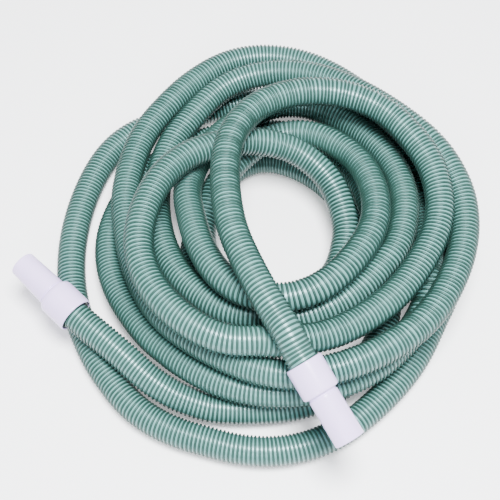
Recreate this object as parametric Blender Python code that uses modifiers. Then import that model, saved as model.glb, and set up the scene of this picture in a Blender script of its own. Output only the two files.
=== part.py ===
"""Coiled pool vacuum hose, 38 mm (1-1/2 in) bore, 12.2 m (40 ft) long, with a swivel cuff
on one end and a fixed cuff on the other.  Lengths below are in millimetres; the model is
built in metres, +Z up, standing on z = 0 with the middle of the coil over the origin."""
import math
import bpy
import bmesh
import numpy as np
from mathutils import Vector, Matrix

MM = 0.001

# ---- driving dimensions (mm) -------------------------------------------------------------
HOSE_OD = 45.0          # over the ribs
HOSE_WALL = 3.2         # rib height and wall together
RUN_PITCH = 46.0        # centre to centre of two runs that touch
STEP = 14.75            # spacing of the computed centreline
CUFF_LENGTH = 118.0     # both cuffs, mouth to nozzle end
GRIP = 37.0             # how far the hose goes into a cuff
TURN_STEPS = 40         # facets around a turned piece

SWIVEL_COLLAR_R, SWIVEL_NOZZLE_R = 28.5, 22.3
FIXED_COLLAR_R, FIXED_NOZZLE_R = 26.5, 21.5

# ---- how the hose is laid ----------------------------------------------------------------
# The coil is wound counter-clockwise, seen from above, about COIL_CENTRE.  RADIUS and HEIGHT
# say how far from that centre and how high over the floor the run lies at stations every
# 20 degrees, one row for each turn.  The first turn starts at -140 degrees, beside the swivel
# cuff; the last one climbs over the coil and crosses the hole toward the fixed cuff.
COIL_CENTRE = (45.0, 8.0)
FIRST_STATION, STATION = -140.0, 20.0
RADIUS = [
    304, 292, 273, 265, 246, 219, 187, 157, 144, 144, 151, 160, 163, 149, 133, 119, 121, 129,
    138, 141, 149, 160, 163, 165, 163, 162, 159, 173, 189, 203, 219, 229, 241, 251, 257, 252,
    248, 259, 259, 263, 266, 262, 256, 253, 263, 283, 295, 288, 283, 290, 318, 317, 316, 321,
    325, 328, 334, 327, 301, 283, 273, 278, 281, 285, 301, 333, 339, 301, 264, 240, 223, 217,
    221, 228, 239, 253, 262, 272, 280, 288, 284, 274, 275, 287, 286, 258, 227, 198, 175, 165,
    159, 155, 155, 162, 163, 169, 177, 197, 214, 227, 238, 244, 217, 182, 159, 135, 123, 120,
    125, 137, 147, 150, 147, 144, 147, 153, 160, 170, 177, 174, 154, 134, 119, 112, 112, 111,
    114, 123, 128, 127, 121, 116, 120, 119, 121, 124, 129, 137, 138, 141, 153, 170, 186, 207,
    221, 227, 227, 219, 214, 219, 230, 248, 252, 243, 225, 196, 162, 124, 92, 76, 70, 71,
    82, 103,
]
HEIGHT = [
    61, 37, 23, 23, 23, 23, 23, 23, 23, 23, 23, 23, 23, 23, 23, 23, 23, 23,
    23, 23, 25, 31, 41, 52, 62, 68, 65, 55, 42, 30, 23, 23, 23, 23, 24, 29,
    40, 53, 64, 69, 69, 66, 59, 43, 28, 23, 23, 23, 23, 23, 23, 23, 23, 23,
    23, 23, 23, 23, 23, 23, 25, 39, 59, 69, 69, 60, 58, 67, 70, 69, 68, 72,
    80, 93, 106, 114, 116, 112, 105, 103, 109, 115, 109, 92, 78, 70, 67, 66, 69, 74,
    80, 86, 92, 97, 101, 104, 104, 95, 79, 64, 57, 60, 70, 79, 90, 103, 113, 121,
    128, 135, 140, 144, 145, 142, 136, 127, 116, 103, 89, 77, 70, 68, 68, 68, 68, 66,
    64, 60, 57, 54, 52, 51, 53, 57, 63, 73, 85, 99, 113, 125, 137, 143, 145, 146,
    147, 148, 143, 131, 118, 111, 112, 122, 136, 148, 154, 159, 164, 170, 174, 177, 180, 182,
    185, 187,
]

SWIVEL_END = [(-331.0, -56.0, 98.0), (-246.5, -135.0, 72.0)]     # nozzle end, mouth
FIXED_END = [(78.5, -247.0, 146.0), (142.5, -347.5, 164.0)]       # mouth, nozzle end
ORIGIN = (5.7, 6.5)     # plan position, in the coil's own axes, of the part's origin


def through(t, points, at):
    """Natural cubic spline through points at parameters t, read at parameters at."""
    n = len(t)
    h = np.diff(t)
    a = np.zeros((n, n))
    b = np.zeros((n, points.shape[1]))
    a[0, 0] = a[-1, -1] = 1.0
    for i in range(1, n - 1):
        a[i, i - 1], a[i, i], a[i, i + 1] = h[i - 1], 2 * (h[i - 1] + h[i]), h[i]
        b[i] = 6 * ((points[i + 1] - points[i]) / h[i] - (points[i] - points[i - 1]) / h[i - 1])
    m = np.linalg.solve(a, b)
    k = np.clip(np.searchsorted(t, at, side="right") - 1, 0, n - 2)
    hk = h[k][:, None]
    u = (t[k + 1] - at)[:, None]
    w = (at - t[k])[:, None]
    return ((m[k] * u ** 3 + m[k + 1] * w ** 3) / (6 * hk)
            + (points[k] / hk - m[k] * hk / 6) * u + (points[k + 1] / hk - m[k + 1] * hk / 6) * w)


def evenly(points, step):
    """The smooth curve through points, read every step."""
    t = np.r_[0, np.cumsum(np.linalg.norm(np.diff(points, axis=0), axis=1))]
    n = int(round(t[-1] / step))
    at = np.linspace(0, t[-1], n + 1)
    for _ in range(3):
        c = through(t, points, at)
        s = np.r_[0, np.cumsum(np.linalg.norm(np.diff(c, axis=0), axis=1))]
        at = np.interp(np.linspace(0, s[-1], n + 1), s, at)
    return through(t, points, at)


def bending(x, m):
    """How much each point is bent away from the straight line of its neighbours m away."""
    a = np.zeros_like(x)
    a[m:-m] = 0.5 * (x[2 * m:] + x[:-2 * m]) - x[m:-m]
    b = np.zeros_like(x)
    b[2 * m:-2 * m] = 0.5 * (a[3 * m:-m] + a[m:-3 * m]) - a[2 * m:-2 * m]
    return b


def straighten(x, first, last):
    """Keep the points first..last-1, inside a cuff, on one line and STEP apart."""
    q = x[first:last]
    middle = q.mean(0)
    axis = np.linalg.svd(q - middle)[2][0]
    if axis @ (q[-1] - q[0]) < 0:
        axis = -axis
    n = last - first
    x[first:last] = middle + (np.arange(n) - 0.5 * (n - 1))[:, None] * STEP * axis


def settle(x, radius, rounds, hold, weight, air):
    """Let the laid hose settle: it sinks, stays stiff, rests on the floor and on itself."""
    x = x.copy()
    n = len(x)
    plan = x[:, :2].copy()
    apart = int(2.2 * RUN_PITCH / STEP)
    place = np.arange(n)
    cuff = int(round(CUFF_LENGTH / STEP)) + 1
    for r in range(rounds):
        if r % 8 == 0:
            q = (x ** 2).sum(1)
            d2 = q[:, None] + q[None, :] - 2 * x @ x.T
            reach = 1.3 * air * (radius[:, None] + radius[None, :])
            near, far = np.nonzero((d2 < reach ** 2) & ((place[None, :] - place[:, None]) > apart))
            need = air * (radius[near] + radius[far])
        x[:, 2] -= weight
        x[:, 2] -= 0.45 * bending(x, 4)[:, 2]
        x[:, 2] -= 0.45 * bending(x, 2)[:, 2]
        for _ in range(2):
            b = bending(x, 1)
            x[:, 2] -= 0.5 * b[:, 2]
            x[:, :2] -= 0.4 * b[:, :2]
        x[:, :2] += hold * (plan - x[:, :2])
        for _ in range(2):
            v = x[near] - x[far]
            d = np.sqrt((v ** 2).sum(1))
            touch = d < need
            i, j = near[touch], far[touch]
            push = (0.5 * (need[touch] - d[touch]) / np.maximum(d[touch], 1e-6))[:, None] * v[touch]
            move, count = np.zeros_like(x), np.zeros(n)
            np.add.at(move, i, push)
            np.add.at(move, j, -push)
            np.add.at(count, i, 1)
            np.add.at(count, j, 1)
            x += 1.2 * move / np.maximum(count, 1)[:, None]
            x[:, 2] = np.maximum(x[:, 2], radius - 0.5)
        straighten(x, 0, cuff)
        straighten(x, n - cuff, n)
        x[:, 2] = np.maximum(x[:, 2], radius - 0.5)
    return x


def lay_hose():
    """Centreline of the whole hose with its cuffs, from swivel nozzle to fixed nozzle, in mm."""
    points = [SWIVEL_END[0], SWIVEL_END[1]]
    for k, (r, h) in enumerate(zip(RADIUS, HEIGHT)):
        a = math.radians(FIRST_STATION + k * STATION)
        points.append((COIL_CENTRE[0] + r * math.cos(a), COIL_CENTRE[1] + r * math.sin(a), h))
    points += FIXED_END
    x = evenly(np.array(points, float), STEP)
    n = len(x)
    s = np.arange(n) * STEP
    radius = np.full(n, RUN_PITCH / 2)
    radius[s < CUFF_LENGTH] = SWIVEL_NOZZLE_R
    radius[(s < CUFF_LENGTH) & (s > 0.55 * CUFF_LENGTH)] = SWIVEL_COLLAR_R
    e = s[-1] - s
    radius[e < CUFF_LENGTH] = FIXED_NOZZLE_R
    radius[(e < CUFF_LENGTH) & (e > 0.6 * CUFF_LENGTH)] = FIXED_COLLAR_R
    x = settle(x, radius, 120, 0.3, 0.1, 1.035)
    x = settle(x, radius, 80, 0.10, 0.0, 1.045)
    x[:, 0] -= ORIGIN[0]
    x[:, 1] -= ORIGIN[1]
    return x


def clear_scene():
    for ob in list(bpy.data.objects):
        bpy.data.objects.remove(ob, do_unlink=True)
    for c in list(bpy.data.collections):
        bpy.data.collections.remove(c)


def material(name, colour, roughness, metallic=0.0):
    m = bpy.data.materials.new(name)
    m.use_nodes = True
    b = m.node_tree.nodes["Principled BSDF"]
    b.inputs["Base Color"].default_value = (*colour, 1.0)
    b.inputs["Roughness"].default_value = roughness
    b.inputs["Metallic"].default_value = metallic
    m.diffuse_color = (*colour, 1.0)
    return m


def frame_at(point, axis):
    """A frame whose +Z runs along axis, at a point given in mm."""
    m = axis.to_track_quat("Z", "Y").to_matrix().to_4x4()
    m.translation = point * MM
    return m


def turned(name, profile, matrix, mat, collection, parent=None):
    """Turn a closed profile of (radius, height) pairs in mm about +Z.  The profile goes down
    the outer side and up the inner side."""
    me = bpy.data.meshes.new(name)
    bm = bmesh.new()
    vs = [bm.verts.new((r * MM, 0.0, z * MM)) for r, z in profile]
    for i in range(len(vs)):
        bm.edges.new((vs[i], vs[(i + 1) % len(vs)]))
    bm.to_mesh(me)
    bm.free()
    ob = bpy.data.objects.new(name, me)
    collection.objects.link(ob)
    me.materials.append(mat)
    sc = ob.modifiers.new("turn", "SCREW")
    sc.axis = "Z"
    sc.angle = 2 * math.pi
    sc.steps = TURN_STEPS
    sc.render_steps = TURN_STEPS
    sc.use_merge_vertices = True
    sc.merge_threshold = 0.00001
    sc.use_smooth_shade = False
    if parent is not None:
        ob.parent = parent
        ob.matrix_parent_inverse = parent.matrix_world.inverted()
    ob.matrix_world = matrix
    return ob


def hose_tube(name, points, mat, collection):
    """The hose wall: a tube on a poly spline, open at both ends, thickened inward."""
    cu = bpy.data.curves.new(name, "CURVE")
    cu.dimensions = "3D"
    cu.bevel_depth = HOSE_OD / 2 * MM
    cu.bevel_resolution = 2
    cu.use_fill_caps = False
    sp = cu.splines.new("POLY")
    sp.points.add(len(points) - 1)
    for p, q in zip(sp.points, points):
        p.co = (q[0] * MM, q[1] * MM, q[2] * MM, 1.0)
    guide = bpy.data.objects.new(name + "_path", cu)
    collection.objects.link(guide)
    bpy.context.view_layer.update()
    deps = bpy.context.evaluated_depsgraph_get()
    me = bpy.data.meshes.new_from_object(guide.evaluated_get(deps))
    me.name = name
    bm = bmesh.new()
    bm.from_mesh(me)
    bmesh.ops.remove_doubles(bm, verts=bm.verts, dist=0.00001)
    # faces point away from the centreline
    f = bm.faces[len(bm.faces) // 2] if not bm.faces.ensure_lookup_table() else None
    c = f.calc_center_median() / MM
    near = min(points, key=lambda q: (Vector(q) - c).length)
    if (c - Vector(near)).dot(f.normal) < 0:
        bmesh.ops.reverse_faces(bm, faces=bm.faces)
    bm.to_mesh(me)
    bm.free()
    ob = bpy.data.objects.new(name, me)
    collection.objects.link(ob)
    ob.matrix_world = guide.matrix_world
    bpy.data.objects.remove(guide, do_unlink=True)
    me.materials.clear()
    me.materials.append(mat)
    so = ob.modifiers.new("wall", "SOLIDIFY")
    so.thickness = HOSE_WALL * MM
    so.offset = -1.0
    so.use_rim = True
    me.shade_smooth()
    return ob


def build():
    clear_scene()
    parts = bpy.data.collections.new("pool_vacuum_hose")
    cutters = bpy.data.collections.new("cutters")
    bpy.context.scene.collection.children.link(parts)
    bpy.context.scene.collection.children.link(cutters)

    hose_mat = material("ribbed_hose", (0.17, 0.29, 0.26), 0.45)
    cuff_mat = material("white_cuff", (0.82, 0.79, 0.84), 0.35)
    sleeve_mat = material("sleeve", (0.70, 0.70, 0.72), 0.40)
    ring_mat = material("retaining_ring", (0.76, 0.75, 0.78), 0.35)
    seal_mat = material("seal", (0.03, 0.03, 0.03), 0.70)

    x = lay_hose()
    cuff = int(round(CUFF_LENGTH / STEP))
    mouth_a, mouth_b = Vector(x[cuff]), Vector(x[-1 - cuff])
    axis_a = (Vector(x[0]) - mouth_a).normalized()
    axis_b = (Vector(x[-1]) - mouth_b).normalized()

    # hose centreline: bottom of the swivel cuff's socket, the run, bottom of the fixed one's
    run = [mouth_a + axis_a * (GRIP - 0.5), mouth_a + axis_a * (GRIP / 2)]
    run += [Vector(p) for p in x[cuff:len(x) - cuff:3]]
    if (run[-1] - mouth_b).length > 0.6 * STEP:
        run.append(mouth_b)
    run += [mouth_b + axis_b * (GRIP / 2), mouth_b + axis_b * (GRIP - 0.5)]
    hose_tube("suction_hose", [tuple(p) for p in run], hose_mat, parts)

    # fixed cuff: collar, soft shoulder with a groove line, straight nozzle, open right through
    r, n = FIXED_COLLAR_R, FIXED_NOZZLE_R
    turned("fixed_cuff", [
        (n - 0.5, CUFF_LENGTH), (n, CUFF_LENGTH - 0.6), (n - 0.6, 52.0), (n - 0.7, 47.5), (r - 3.4, 46.2),
        (r - 0.9, 43.6), (r, 40.5), (r, 1.2), (r - 1.2, 0.0),
        (23.8, 0.0), (23.4, 5.0), (22.9, 5.6), (22.9, GRIP), (18.6, GRIP), (18.6, CUFF_LENGTH - 4),
        (18.8, CUFF_LENGTH)],
        frame_at(mouth_b, axis_b), cuff_mat, parts)

    # swivel end: the sleeve is bonded to the hose, the cuff turns on it
    fa = frame_at(mouth_a, axis_a)
    pivot = bpy.data.objects.new("swivel_axis", None)
    pivot.empty_display_size = 0.03
    parts.objects.link(pivot)
    pivot.matrix_world = fa
    bpy.context.view_layer.update()

    turned("swivel_sleeve", [
        (24.9, GRIP), (24.9, 13.0), (25.7, 12.7), (25.7, 9.3), (24.9, 9.0), (24.9, 2.0),
        (22.9, 2.0), (22.9, GRIP)],
        fa, sleeve_mat, parts)
    turned("swivel_seal", [(25.4, 40.0), (25.4, 37.4), (19.2, 37.4), (19.2, 40.0)], fa, seal_mat, parts)

    r, n = SWIVEL_COLLAR_R, SWIVEL_NOZZLE_R
    turned("swivel_cuff", [
        (n - 3.0, CUFF_LENGTH), (n - 2.1, CUFF_LENGTH - 1.0), (n - 0.4, 58.0), (n + 0.5, 54.0), (r - 3.6, 51.2),
        (r - 1.2, 47.6), (r, 43.0), (r, 1.2), (r - 1.0, 0.0),
        (26.2, 0.0), (26.2, 5.0), (27.3, 5.0), (27.3, 9.0), (26.2, 9.0), (26.2, 40.3),
        (18.0, 40.3), (16.6, 46.0), (16.6, CUFF_LENGTH - 4), (16.9, CUFF_LENGTH)],
        fa, cuff_mat, parts, pivot)
    ring = turned("retaining_ring", [(27.0, 8.7), (27.0, 5.3), (25.25, 5.3), (25.25, 8.7)],
                  fa, ring_mat, parts, pivot)
    # the ring is split, so that it springs into its groove
    bpy.ops.mesh.primitive_cube_add(size=1.0, location=(0, 0, 0))
    slit = bpy.context.active_object
    slit.name = "ring_slit"
    for c in list(slit.users_collection):
        c.objects.unlink(slit)
    cutters.objects.link(slit)
    slit.data.transform(Matrix.Diagonal((0.008, 0.003, 0.008, 1.0)))
    slit.parent = pivot
    slit.matrix_parent_inverse = pivot.matrix_world.inverted()
    slit.matrix_world = fa @ Matrix.Translation((0.026, 0.0, 0.007))
    slit.hide_render = True
    slit.display_type = "WIRE"
    cut = ring.modifiers.new("split", "BOOLEAN")
    cut.operation = "DIFFERENCE"
    cut.solver = "EXACT"
    cut.object = slit
    bpy.context.view_layer.update()


build()
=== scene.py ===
"""Looks of the coiled pool vacuum hose: the pale inner wall with its dark helical ribs, the
two moulded cuffs, a pale floor, soft studio light and the camera.  The route is the same as
in the CAD source and is worked out by the same steps; lengths in the tables are millimetres."""
import math
import bpy
import bmesh
import numpy as np
from mathutils import Vector, Matrix


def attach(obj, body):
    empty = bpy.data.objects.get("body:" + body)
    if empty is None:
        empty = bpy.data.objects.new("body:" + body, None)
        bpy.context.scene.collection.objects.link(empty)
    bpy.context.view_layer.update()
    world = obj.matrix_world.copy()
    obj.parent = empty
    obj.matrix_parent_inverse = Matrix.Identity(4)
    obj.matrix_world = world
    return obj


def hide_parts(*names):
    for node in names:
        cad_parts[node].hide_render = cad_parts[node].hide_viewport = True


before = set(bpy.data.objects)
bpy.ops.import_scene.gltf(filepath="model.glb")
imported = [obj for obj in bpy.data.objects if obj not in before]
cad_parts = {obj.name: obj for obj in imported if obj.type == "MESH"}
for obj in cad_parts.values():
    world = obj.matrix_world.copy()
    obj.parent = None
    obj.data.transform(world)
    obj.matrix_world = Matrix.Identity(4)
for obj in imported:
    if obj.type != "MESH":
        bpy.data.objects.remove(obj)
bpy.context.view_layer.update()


MM = 0.001
RUN_PITCH = 46.0
STEP = 14.75
CUFF_LENGTH = 118.0
GRIP = 37.0
SWIVEL_COLLAR_R, SWIVEL_NOZZLE_R = 28.5, 22.3
FIXED_COLLAR_R, FIXED_NOZZLE_R = 26.5, 21.5
COIL_CENTRE = (45.0, 8.0)
FIRST_STATION, STATION = -140.0, 20.0
RADIUS = [
    304, 292, 273, 265, 246, 219, 187, 157, 144, 144, 151, 160, 163, 149, 133, 119, 121, 129,
    138, 141, 149, 160, 163, 165, 163, 162, 159, 173, 189, 203, 219, 229, 241, 251, 257, 252,
    248, 259, 259, 263, 266, 262, 256, 253, 263, 283, 295, 288, 283, 290, 318, 317, 316, 321,
    325, 328, 334, 327, 301, 283, 273, 278, 281, 285, 301, 333, 339, 301, 264, 240, 223, 217,
    221, 228, 239, 253, 262, 272, 280, 288, 284, 274, 275, 287, 286, 258, 227, 198, 175, 165,
    159, 155, 155, 162, 163, 169, 177, 197, 214, 227, 238, 244, 217, 182, 159, 135, 123, 120,
    125, 137, 147, 150, 147, 144, 147, 153, 160, 170, 177, 174, 154, 134, 119, 112, 112, 111,
    114, 123, 128, 127, 121, 116, 120, 119, 121, 124, 129, 137, 138, 141, 153, 170, 186, 207,
    221, 227, 227, 219, 214, 219, 230, 248, 252, 243, 225, 196, 162, 124, 92, 76, 70, 71,
    82, 103,
]
HEIGHT = [
    61, 37, 23, 23, 23, 23, 23, 23, 23, 23, 23, 23, 23, 23, 23, 23, 23, 23,
    23, 23, 25, 31, 41, 52, 62, 68, 65, 55, 42, 30, 23, 23, 23, 23, 24, 29,
    40, 53, 64, 69, 69, 66, 59, 43, 28, 23, 23, 23, 23, 23, 23, 23, 23, 23,
    23, 23, 23, 23, 23, 23, 25, 39, 59, 69, 69, 60, 58, 67, 70, 69, 68, 72,
    80, 93, 106, 114, 116, 112, 105, 103, 109, 115, 109, 92, 78, 70, 67, 66, 69, 74,
    80, 86, 92, 97, 101, 104, 104, 95, 79, 64, 57, 60, 70, 79, 90, 103, 113, 121,
    128, 135, 140, 144, 145, 142, 136, 127, 116, 103, 89, 77, 70, 68, 68, 68, 68, 66,
    64, 60, 57, 54, 52, 51, 53, 57, 63, 73, 85, 99, 113, 125, 137, 143, 145, 146,
    147, 148, 143, 131, 118, 111, 112, 122, 136, 148, 154, 159, 164, 170, 174, 177, 180, 182,
    185, 187,
]

SWIVEL_END = [(-331.0, -56.0, 98.0), (-246.5, -135.0, 72.0)]
FIXED_END = [(78.5, -247.0, 146.0), (142.5, -347.5, 164.0)]
ORIGIN = (5.7, 6.5)


def through(t, points, at):
    """Natural cubic spline through points at parameters t, read at parameters at."""
    n = len(t)
    h = np.diff(t)
    a = np.zeros((n, n))
    b = np.zeros((n, points.shape[1]))
    a[0, 0] = a[-1, -1] = 1.0
    for i in range(1, n - 1):
        a[i, i - 1], a[i, i], a[i, i + 1] = h[i - 1], 2 * (h[i - 1] + h[i]), h[i]
        b[i] = 6 * ((points[i + 1] - points[i]) / h[i] - (points[i] - points[i - 1]) / h[i - 1])
    m = np.linalg.solve(a, b)
    k = np.clip(np.searchsorted(t, at, side="right") - 1, 0, n - 2)
    hk = h[k][:, None]
    u = (t[k + 1] - at)[:, None]
    w = (at - t[k])[:, None]
    return ((m[k] * u ** 3 + m[k + 1] * w ** 3) / (6 * hk)
            + (points[k] / hk - m[k] * hk / 6) * u + (points[k + 1] / hk - m[k + 1] * hk / 6) * w)


def evenly(points, step):
    """The smooth curve through points, read every step."""
    t = np.r_[0, np.cumsum(np.linalg.norm(np.diff(points, axis=0), axis=1))]
    n = int(round(t[-1] / step))
    at = np.linspace(0, t[-1], n + 1)
    for _ in range(3):
        c = through(t, points, at)
        s = np.r_[0, np.cumsum(np.linalg.norm(np.diff(c, axis=0), axis=1))]
        at = np.interp(np.linspace(0, s[-1], n + 1), s, at)
    return through(t, points, at)


def bending(x, m):
    """How much each point is bent away from the straight line of its neighbours m away."""
    a = np.zeros_like(x)
    a[m:-m] = 0.5 * (x[2 * m:] + x[:-2 * m]) - x[m:-m]
    b = np.zeros_like(x)
    b[2 * m:-2 * m] = 0.5 * (a[3 * m:-m] + a[m:-3 * m]) - a[2 * m:-2 * m]
    return b


def straighten(x, first, last):
    """Keep the points first..last-1, inside a cuff, on one line and STEP apart."""
    q = x[first:last]
    middle = q.mean(0)
    axis = np.linalg.svd(q - middle)[2][0]
    if axis @ (q[-1] - q[0]) < 0:
        axis = -axis
    n = last - first
    x[first:last] = middle + (np.arange(n) - 0.5 * (n - 1))[:, None] * STEP * axis


def settle(x, radius, rounds, hold, weight, air):
    """Let the laid hose settle: it sinks, stays stiff, rests on the floor and on itself."""
    x = x.copy()
    n = len(x)
    plan = x[:, :2].copy()
    apart = int(2.2 * RUN_PITCH / STEP)
    place = np.arange(n)
    cuff = int(round(CUFF_LENGTH / STEP)) + 1
    for r in range(rounds):
        if r % 8 == 0:
            q = (x ** 2).sum(1)
            d2 = q[:, None] + q[None, :] - 2 * x @ x.T
            reach = 1.3 * air * (radius[:, None] + radius[None, :])
            near, far = np.nonzero((d2 < reach ** 2) & ((place[None, :] - place[:, None]) > apart))
            need = air * (radius[near] + radius[far])
        x[:, 2] -= weight
        x[:, 2] -= 0.45 * bending(x, 4)[:, 2]
        x[:, 2] -= 0.45 * bending(x, 2)[:, 2]
        for _ in range(2):
            b = bending(x, 1)
            x[:, 2] -= 0.5 * b[:, 2]
            x[:, :2] -= 0.4 * b[:, :2]
        x[:, :2] += hold * (plan - x[:, :2])
        for _ in range(2):
            v = x[near] - x[far]
            d = np.sqrt((v ** 2).sum(1))
            touch = d < need
            i, j = near[touch], far[touch]
            push = (0.5 * (need[touch] - d[touch]) / np.maximum(d[touch], 1e-6))[:, None] * v[touch]
            move, count = np.zeros_like(x), np.zeros(n)
            np.add.at(move, i, push)
            np.add.at(move, j, -push)
            np.add.at(count, i, 1)
            np.add.at(count, j, 1)
            x += 1.2 * move / np.maximum(count, 1)[:, None]
            x[:, 2] = np.maximum(x[:, 2], radius - 0.5)
        straighten(x, 0, cuff)
        straighten(x, n - cuff, n)
        x[:, 2] = np.maximum(x[:, 2], radius - 0.5)
    return x


def lay_hose():
    """Centreline of the whole hose with its cuffs, from swivel nozzle to fixed nozzle, in mm."""
    points = [SWIVEL_END[0], SWIVEL_END[1]]
    for k, (r, h) in enumerate(zip(RADIUS, HEIGHT)):
        a = math.radians(FIRST_STATION + k * STATION)
        points.append((COIL_CENTRE[0] + r * math.cos(a), COIL_CENTRE[1] + r * math.sin(a), h))
    points += FIXED_END
    x = evenly(np.array(points, float), STEP)
    n = len(x)
    s = np.arange(n) * STEP
    radius = np.full(n, RUN_PITCH / 2)
    radius[s < CUFF_LENGTH] = SWIVEL_NOZZLE_R
    radius[(s < CUFF_LENGTH) & (s > 0.55 * CUFF_LENGTH)] = SWIVEL_COLLAR_R
    e = s[-1] - s
    radius[e < CUFF_LENGTH] = FIXED_NOZZLE_R
    radius[(e < CUFF_LENGTH) & (e > 0.6 * CUFF_LENGTH)] = FIXED_COLLAR_R
    x = settle(x, radius, 120, 0.3, 0.1, 1.035)
    x = settle(x, radius, 80, 0.10, 0.0, 1.045)
    x[:, 0] -= ORIGIN[0]
    x[:, 1] -= ORIGIN[1]
    return x


# ---- route -------------------------------------------------------------------------------
X = lay_hose()
CUFF = int(round(CUFF_LENGTH / STEP))
MOUTH_A, MOUTH_B = Vector(X[CUFF]), Vector(X[-1 - CUFF])
AXIS_A = (Vector(X[0]) - MOUTH_A).normalized()
AXIS_B = (Vector(X[-1]) - MOUTH_B).normalized()
END_A = MOUTH_A + AXIS_A * (GRIP - 0.8)
END_B = MOUTH_B + AXIS_B * (GRIP - 0.8)


def dense_route(step):
    """Centreline of the hose alone, socket to socket, every step mm, with its arc length."""
    pts = [END_A, MOUTH_A + AXIS_A * 18.0] + [Vector(p) for p in X[CUFF:len(X) - CUFF]]
    pts += [MOUTH_B + AXIS_B * 18.0, END_B]
    pts = np.array([tuple(p) for p in pts])
    t = np.r_[0, np.cumsum(np.linalg.norm(np.diff(pts, axis=0), axis=1))]
    at = np.arange(0, t[-1], step)
    c = through(t, pts, at)
    s = np.r_[0, np.cumsum(np.linalg.norm(np.diff(c, axis=0), axis=1))]
    return c, s


def carried_frames(c):
    """Normals carried along the centreline without twisting about it."""
    tan = np.gradient(c, axis=0)
    tan /= np.linalg.norm(tan, axis=1)[:, None]
    n = np.zeros_like(c)
    v = np.cross(tan[0], [0.0, 0.0, 1.0])
    v /= np.linalg.norm(v)
    n[0] = v
    for i in range(1, len(c)):
        v = v - tan[i] * (v @ tan[i])
        v /= math.sqrt(v @ v)
        n[i] = v
    return tan, n, np.cross(tan, n)


def grid_mesh(name, verts, rows, cols, mat, close_cols, flip=False, smooth=True):
    """A mesh from a rows x cols grid of points, closed around the columns if asked."""
    r = np.arange(rows - 1)[:, None]
    cc = cols if close_cols else cols - 1
    c = np.arange(cc)[None, :]
    c2 = (c + 1) % cols
    q = np.stack([r * cols + c, r * cols + c2, (r + 1) * cols + c2, (r + 1) * cols + c], -1).reshape(-1, 4)
    if flip:
        q = q[:, ::-1]
    me = bpy.data.meshes.new(name)
    me.vertices.add(len(verts))
    me.vertices.foreach_set("co", np.asarray(verts, np.float32).ravel())
    me.loops.add(q.size)
    me.loops.foreach_set("vertex_index", q.ravel().astype(np.int32))
    me.polygons.add(len(q))
    me.polygons.foreach_set("loop_start", (np.arange(len(q)) * 4).astype(np.int32))
    me.polygons.foreach_set("loop_total", np.full(len(q), 4, np.int32))
    me.update(calc_edges=True)
    me.validate()
    if smooth:
        me.shade_smooth()
    ob = bpy.data.objects.new(name, me)
    bpy.context.scene.collection.objects.link(ob)
    me.materials.append(mat)
    return ob


# ---- materials ---------------------------------------------------------------------------
def material(name):
    m = bpy.data.materials.new(name)
    m.use_nodes = True
    nt = m.node_tree
    return m, nt, nt.nodes["Principled BSDF"]


def noise(nt, scale, detail=4.0, rough=0.55):
    co = nt.nodes.new("ShaderNodeTexCoord")
    n = nt.nodes.new("ShaderNodeTexNoise")
    n.inputs["Scale"].default_value = scale
    n.inputs["Detail"].default_value = detail
    n.inputs["Roughness"].default_value = rough
    nt.links.new(co.outputs["Object"], n.inputs["Vector"])
    return n


def ramp(nt, source, stops):
    r = nt.nodes.new("ShaderNodeValToRGB")
    e = r.color_ramp.elements
    while len(e) < len(stops):
        e.new(0.5)
    for el, (p, c) in zip(e, stops):
        el.position = p
        el.color = (*c, 1.0)
    nt.links.new(source, r.inputs["Fac"])
    return r


def bump(nt, bsdf, source, strength, distance):
    b = nt.nodes.new("ShaderNodeBump")
    b.inputs["Strength"].default_value = strength
    b.inputs["Distance"].default_value = distance
    nt.links.new(source, b.inputs["Height"])
    nt.links.new(b.outputs["Normal"], bsdf.inputs["Normal"])


def rib_material():
    m, nt, b = material("hose_rib")
    n = noise(nt, 9.0, 3.0)
    r = ramp(nt, n.outputs["Fac"], [(0.30, RIB_DARK), (0.55, RIB_MID), (0.75, RIB_LIGHT)])
    nt.links.new(r.outputs["Color"], b.inputs["Base Color"])
    f = noise(nt, 160.0, 2.0)
    rr = ramp(nt, f.outputs["Fac"], [(0.3, (0.34,) * 3), (0.7, (0.48,) * 3)])
    nt.links.new(rr.outputs["Color"], b.inputs["Roughness"])
    bump(nt, b, f.outputs["Fac"], 0.08, 0.0004)
    b.inputs["Specular IOR Level"].default_value = 0.45
    b.inputs["Specular Tint"].default_value = (0.60, 0.95, 0.92, 1)
    return m


def wall_material():
    m, nt, b = material("hose_wall_plastic")
    n = noise(nt, 14.0, 3.0)
    r = ramp(nt, n.outputs["Fac"], [(0.3, WALL_A), (0.7, WALL_B)])
    nt.links.new(r.outputs["Color"], b.inputs["Base Color"])
    f = noise(nt, 300.0, 2.0)
    rr = ramp(nt, f.outputs["Fac"], [(0.3, (0.28,) * 3), (0.7, (0.38,) * 3)])
    nt.links.new(rr.outputs["Color"], b.inputs["Roughness"])
    b.inputs["Specular IOR Level"].default_value = 0.7
    b.inputs["Specular Tint"].default_value = (0.66, 0.95, 1.0, 1)
    b.inputs["Coat Weight"].default_value = 0.0
    bump(nt, b, f.outputs["Fac"], 0.05, 0.0003)
    return m


def cuff_material():
    m, nt, b = material("cuff_plastic")
    n = noise(nt, 22.0, 4.0)
    r = ramp(nt, n.outputs["Fac"], [(0.25, CUFF_A), (0.55, CUFF_B), (0.8, CUFF_C)])
    nt.links.new(r.outputs["Color"], b.inputs["Base Color"])
    f = noise(nt, 420.0, 3.0)
    rr = ramp(nt, f.outputs["Fac"], [(0.3, (0.17,) * 3), (0.7, (0.25,) * 3)])
    nt.links.new(rr.outputs["Color"], b.inputs["Roughness"])
    bump(nt, b, f.outputs["Fac"], 0.06, 0.0003)
    return m


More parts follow.
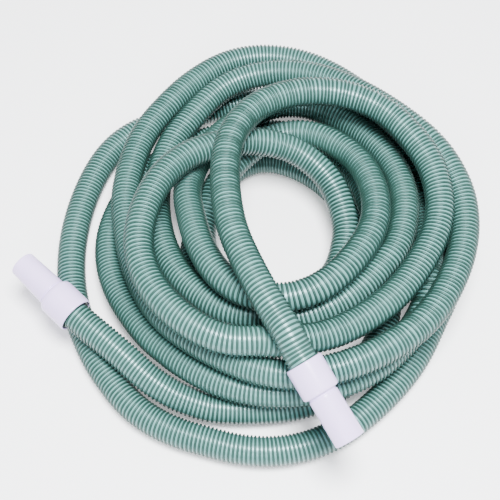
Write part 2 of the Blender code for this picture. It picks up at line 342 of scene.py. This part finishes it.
def plain_material(name, a, c, rough, scale=60.0):
    m, nt, b = material(name)
    n = noise(nt, scale, 3.0)
    r = ramp(nt, n.outputs["Fac"], [(0.3, a), (0.7, c)])
    nt.links.new(r.outputs["Color"], b.inputs["Base Color"])
    b.inputs["Roughness"].default_value = rough
    bump(nt, b, n.outputs["Fac"], 0.05, 0.0003)
    return m


RIB_DARK, RIB_MID, RIB_LIGHT = (0.012, 0.036, 0.029), (0.017, 0.047, 0.038), (0.022, 0.059, 0.048)
WALL_A, WALL_B = (0.082, 0.208, 0.196), (0.108, 0.250, 0.238)
CUFF_A, CUFF_B, CUFF_C = (0.62, 0.50, 0.83), (0.655, 0.53, 0.87), (0.68, 0.555, 0.90)

RIB = rib_material()
WALL = wall_material()
CUFF_MAT = cuff_material()

# ---- the hose ----------------------------------------------------------------------------
WALL_R, RIB_R = 19.9, 22.4
INNER_R = 18.4

C, S = dense_route(4.0)
TAN, NRM, BIN = carried_frames(C)
LENGTH = float(S[-1])


def wall_tube():
    sides = 28
    k = np.arange(0, len(C), 2)
    if k[-1] != len(C) - 1:
        k = np.r_[k, len(C) - 1]
    a = 2 * math.pi * np.arange(sides) / sides
    ca, sa = np.cos(a)[None, :, None], np.sin(a)[None, :, None]
    rings = C[k][:, None, :] + WALL_R * (ca * NRM[k][:, None, :] + sa * BIN[k][:, None, :])
    ob = grid_mesh("hose_wall", rings.reshape(-1, 3) * MM, len(k), sides, WALL, True)
    return ob, k


def rib_pitch(s):
    """Rib spacing along the hose: the runs wound last but one are drawn out a little."""
    return 6.05 + 0.7 * np.exp(-((s - 9700.0) / 1000.0) ** 2)


def ribs(name, first, last, around=18):
    """The helical rib between two arc lengths, as a swept low fin."""
    fine = np.arange(0.0, LENGTH, 1.0)
    turns = np.r_[0, np.cumsum(1.0 / rib_pitch(fine[:-1]))]
    lo, hi = np.interp([first, last], fine, turns)
    lo, hi = math.ceil(lo * around) / around, math.floor(hi * around) / around
    k = int(round((hi - lo) * around)) + 1
    tt = lo + np.arange(k) / around
    s = np.interp(tt, turns, fine)
    phi = 2 * math.pi * tt

    def at(v, s):
        return np.stack([np.interp(s, S, v[:, j]) for j in range(3)], 1)
    p = np.arange(k)
    n, b = at(NRM, s), at(BIN, s)
    radial = np.cos(phi)[:, None] * n + np.sin(phi)[:, None] * b
    rows = []
    half = rib_pitch(s) * 0.5
    for off, rad in RIB_SECTION:
        c = at(C, np.clip(s + off * half, 0, LENGTH))
        rows.append(c + rad * radial)
    verts = np.stack(rows, 1)
    return grid_mesh(name, verts.reshape(-1, 3) * MM, k, len(RIB_SECTION), RIB, False)


RIB_SECTION = [(-0.60, 19.7), (-0.52, 21.2), (-0.34, 22.15), (0.0, RIB_R), (0.34, 22.15), (0.52, 21.2), (0.60, 19.7)]

wall, ring_rows = wall_tube()
inside = 5.5
bounds_s = np.linspace(GRIP - inside, LENGTH - GRIP + inside, 5)
rib_pieces = [ribs("hose_rib_%d" % (i + 1), bounds_s[i], bounds_s[i + 1]) for i in range(4)]
for r in rib_pieces:
    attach(r, "hose")
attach(wall, "hose")
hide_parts("suction_hose")

# ---- cuffs -------------------------------------------------------------------------------
def frame_at(point, axis):
    m = axis.to_track_quat("Z", "Y").to_matrix().to_4x4()
    m.translation = point * MM
    return m


def rounded(profile, reach=0.9, cuts=4):
    """Round the corners of a closed (radius, height) profile a little."""
    n = len(profile)
    out = []
    for i in range(n):
        p = Vector(profile[i])
        a, b = Vector(profile[i - 1]) - p, Vector(profile[(i + 1) % n]) - p
        bend = abs(a.angle(b) - math.pi)
        if bend < 0.06:
            out.append(tuple(p))
            continue
        r = min(reach, 0.42 * a.length, 0.42 * b.length)
        p0, p2 = p + a.normalized() * r, p + b.normalized() * r
        for j in range(cuts + 1):
            t = j / cuts
            out.append(tuple((1 - t) ** 2 * p0 + 2 * t * (1 - t) * p + t * t * p2))
    return out


def lathe(name, profile, matrix, mat, around=112, ridge=None):
    """Turn a closed profile about +Z; ridge(angle, r, z) may lift the surface a little."""
    pr = np.array(profile)
    a = 2 * math.pi * np.arange(around) / around
    rows = []
    for ang in a:
        r = pr[:, 0].copy()
        if ridge is not None:
            r = r + ridge(ang, pr)
        rows.append(np.stack([r * math.cos(ang), r * math.sin(ang), pr[:, 1]], 1))
    rows.append(rows[0])
    v = np.array(rows)
    k = len(pr)
    m = np.array(matrix)
    verts = v[:-1].reshape(-1, 3) * MM
    verts = verts @ m[:3, :3].T + m[:3, 3]
    idx = np.arange(around)[:, None]
    j = np.arange(k)[None, :]
    i2, j2 = (idx + 1) % around, (j + 1) % k
    q = np.stack([idx * k + j, idx * k + j2, i2 * k + j2, i2 * k + j], -1).reshape(-1, 4)
    me = bpy.data.meshes.new(name)
    me.from_pydata(verts.tolist(), [], q.tolist())
    bm = bmesh.new()
    bm.from_mesh(me)
    bmesh.ops.recalc_face_normals(bm, faces=bm.faces)
    bm.to_mesh(me)
    bm.free()
    me.materials.append(mat)
    me.shade_smooth()
    me.set_sharp_from_angle(angle=math.radians(55))
    ob = bpy.data.objects.new(name, me)
    bpy.context.scene.collection.objects.link(ob)
    return ob


FA, FB = frame_at(MOUTH_A, AXIS_A), frame_at(MOUTH_B, AXIS_B)


def seam(depth, centre=0.0):
    """Two faint mould lines along the outside of a cuff."""
    def f(ang, pr):
        d = min(abs((ang - centre + math.pi) % (2 * math.pi) - math.pi),
                abs((ang - centre) % (2 * math.pi) - math.pi))
        return np.where(pr[:, 0] > 21.0, depth * math.exp(-(d / 0.03) ** 2), 0.0)
    return f


r, n = FIXED_COLLAR_R, FIXED_NOZZLE_R
fixed = lathe("fixed_cuff_shell", rounded([
    (n - 0.5, CUFF_LENGTH), (n, CUFF_LENGTH - 0.9), (n - 0.2, 54.0), (n - 0.3, 50.3), (n - 1.6, 49.8), (n - 1.6, 47.4), (n - 0.2, 46.9),
    (r - 1.7, 46.2), (r - 0.4, 44.8), (r, 42.0), (r + 0.05, 1.6), (r - 1.0, 0.0),
    (23.9, 0.0), (23.5, 5.0), (22.95, 5.8), (22.95, GRIP), (18.7, GRIP), (18.7, CUFF_LENGTH - 4),
    (19.0, CUFF_LENGTH)]), FB, CUFF_MAT, ridge=seam(0.12, 0.6))
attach(fixed, "hose")
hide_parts("fixed_cuff")

r, n = SWIVEL_COLLAR_R, SWIVEL_NOZZLE_R
swivel = lathe("swivel_cuff_shell", rounded([
    (n - 3.0, CUFF_LENGTH), (n - 2.1, CUFF_LENGTH - 1.0), (n - 1.0, 84.0), (n - 0.2, 60.0), (n, 52.0), (n - 1.3, 51.2), (n - 1.3, 49.9), (n + 0.3, 49.2),
    (r - 3.0, 48.0), (r - 1.0, 45.6), (r, 42.0), (r, 1.6), (r - 0.9, 0.0),
    (26.3, 0.0), (26.2, 5.0), (27.3, 5.0), (27.3, 9.0), (26.2, 9.0), (26.2, 40.3),
    (18.0, 40.3), (16.6, 46.0), (16.6, CUFF_LENGTH - 4), (16.9, CUFF_LENGTH)]), FA, CUFF_MAT, ridge=seam(0.12, 0.3))
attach(swivel, "swivel")
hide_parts("swivel_cuff")

# CAD nodes that stay get their own finish; the sleeve and the retaining ring are coloured dark as painted shade,
# standing for the shadow in the gap inside the swivel cuff's mouth
finish = {
    "swivel_sleeve": plain_material("sleeve_plastic_painted_shade", (0.035, 0.045, 0.045), (0.05, 0.06, 0.06), 0.45),
    "retaining_ring": plain_material("ring_plastic_painted_shade", (0.10, 0.11, 0.115), (0.14, 0.15, 0.155), 0.45),
    "swivel_seal": plain_material("seal_rubber", (0.012, 0.012, 0.013), (0.022, 0.022, 0.024), 0.75),
}
for node, mat in finish.items():
    ob = bpy.data.objects[node]
    for slot in ob.material_slots:
        slot.material = mat

# ---- floor, light, camera ----------------------------------------------------------------
bpy.ops.mesh.primitive_plane_add(size=60.0, location=(0, 0, 0))
floor = bpy.context.active_object
floor.name = "floor"
fm, fnt, fb = material("floor_pale")
fb.inputs["Base Color"].default_value = (0.93, 0.93, 0.94, 1)
fb.inputs["Roughness"].default_value = 0.6
fb.inputs["Emission Color"].default_value = (1.0, 1.0, 1.0, 1)
fb.inputs["Emission Strength"].default_value = 0.35
floor.data.materials.append(fm)

world = bpy.data.worlds.new("studio") if bpy.context.scene.world is None else bpy.context.scene.world
bpy.context.scene.world = world
world.use_nodes = True
bg = world.node_tree.nodes["Background"]
bg.inputs["Color"].default_value = (0.95, 0.97, 1.0, 1)
bg.inputs["Strength"].default_value = 1.1


def area(name, size, loc, target, watts, colour=(1, 1, 1)):
    d = bpy.data.lights.new(name, "AREA")
    d.shape = "DISK"
    d.size = size
    d.energy = watts
    d.color = colour
    o = bpy.data.objects.new(name, d)
    bpy.context.scene.collection.objects.link(o)
    o.location = loc
    o.rotation_euler = (Vector(target) - Vector(loc)).to_track_quat("-Z", "Y").to_euler()
    return o


area("key", 0.85, (0.16, -0.32, 2.4), (0, 0, 0.08), 240.0, (0.98, 0.99, 1.0))
area("fill", 0.8, (-0.3, -2.1, 1.7), (0, 0, 0.08), 26.0, (0.95, 0.97, 1.0))

cam_data = bpy.data.cameras.new("camera")
cam = bpy.data.objects.new("camera", cam_data)
bpy.context.scene.collection.objects.link(cam)
ELEV, DIST = math.radians(62.0), 1.610
AIM = Vector((0.0043, 0.0065, 0.0))
cam.location = AIM + Vector((0.0, -DIST * math.cos(ELEV), DIST * math.sin(ELEV)))
cam.rotation_euler = (AIM - cam.location).to_track_quat("-Z", "Y").to_euler()
cam_data.sensor_width = 36.0
cam_data.lens = 36.0 * 1001.0 / 500.0
cam_data.clip_start = 0.01
bpy.context.scene.camera = cam
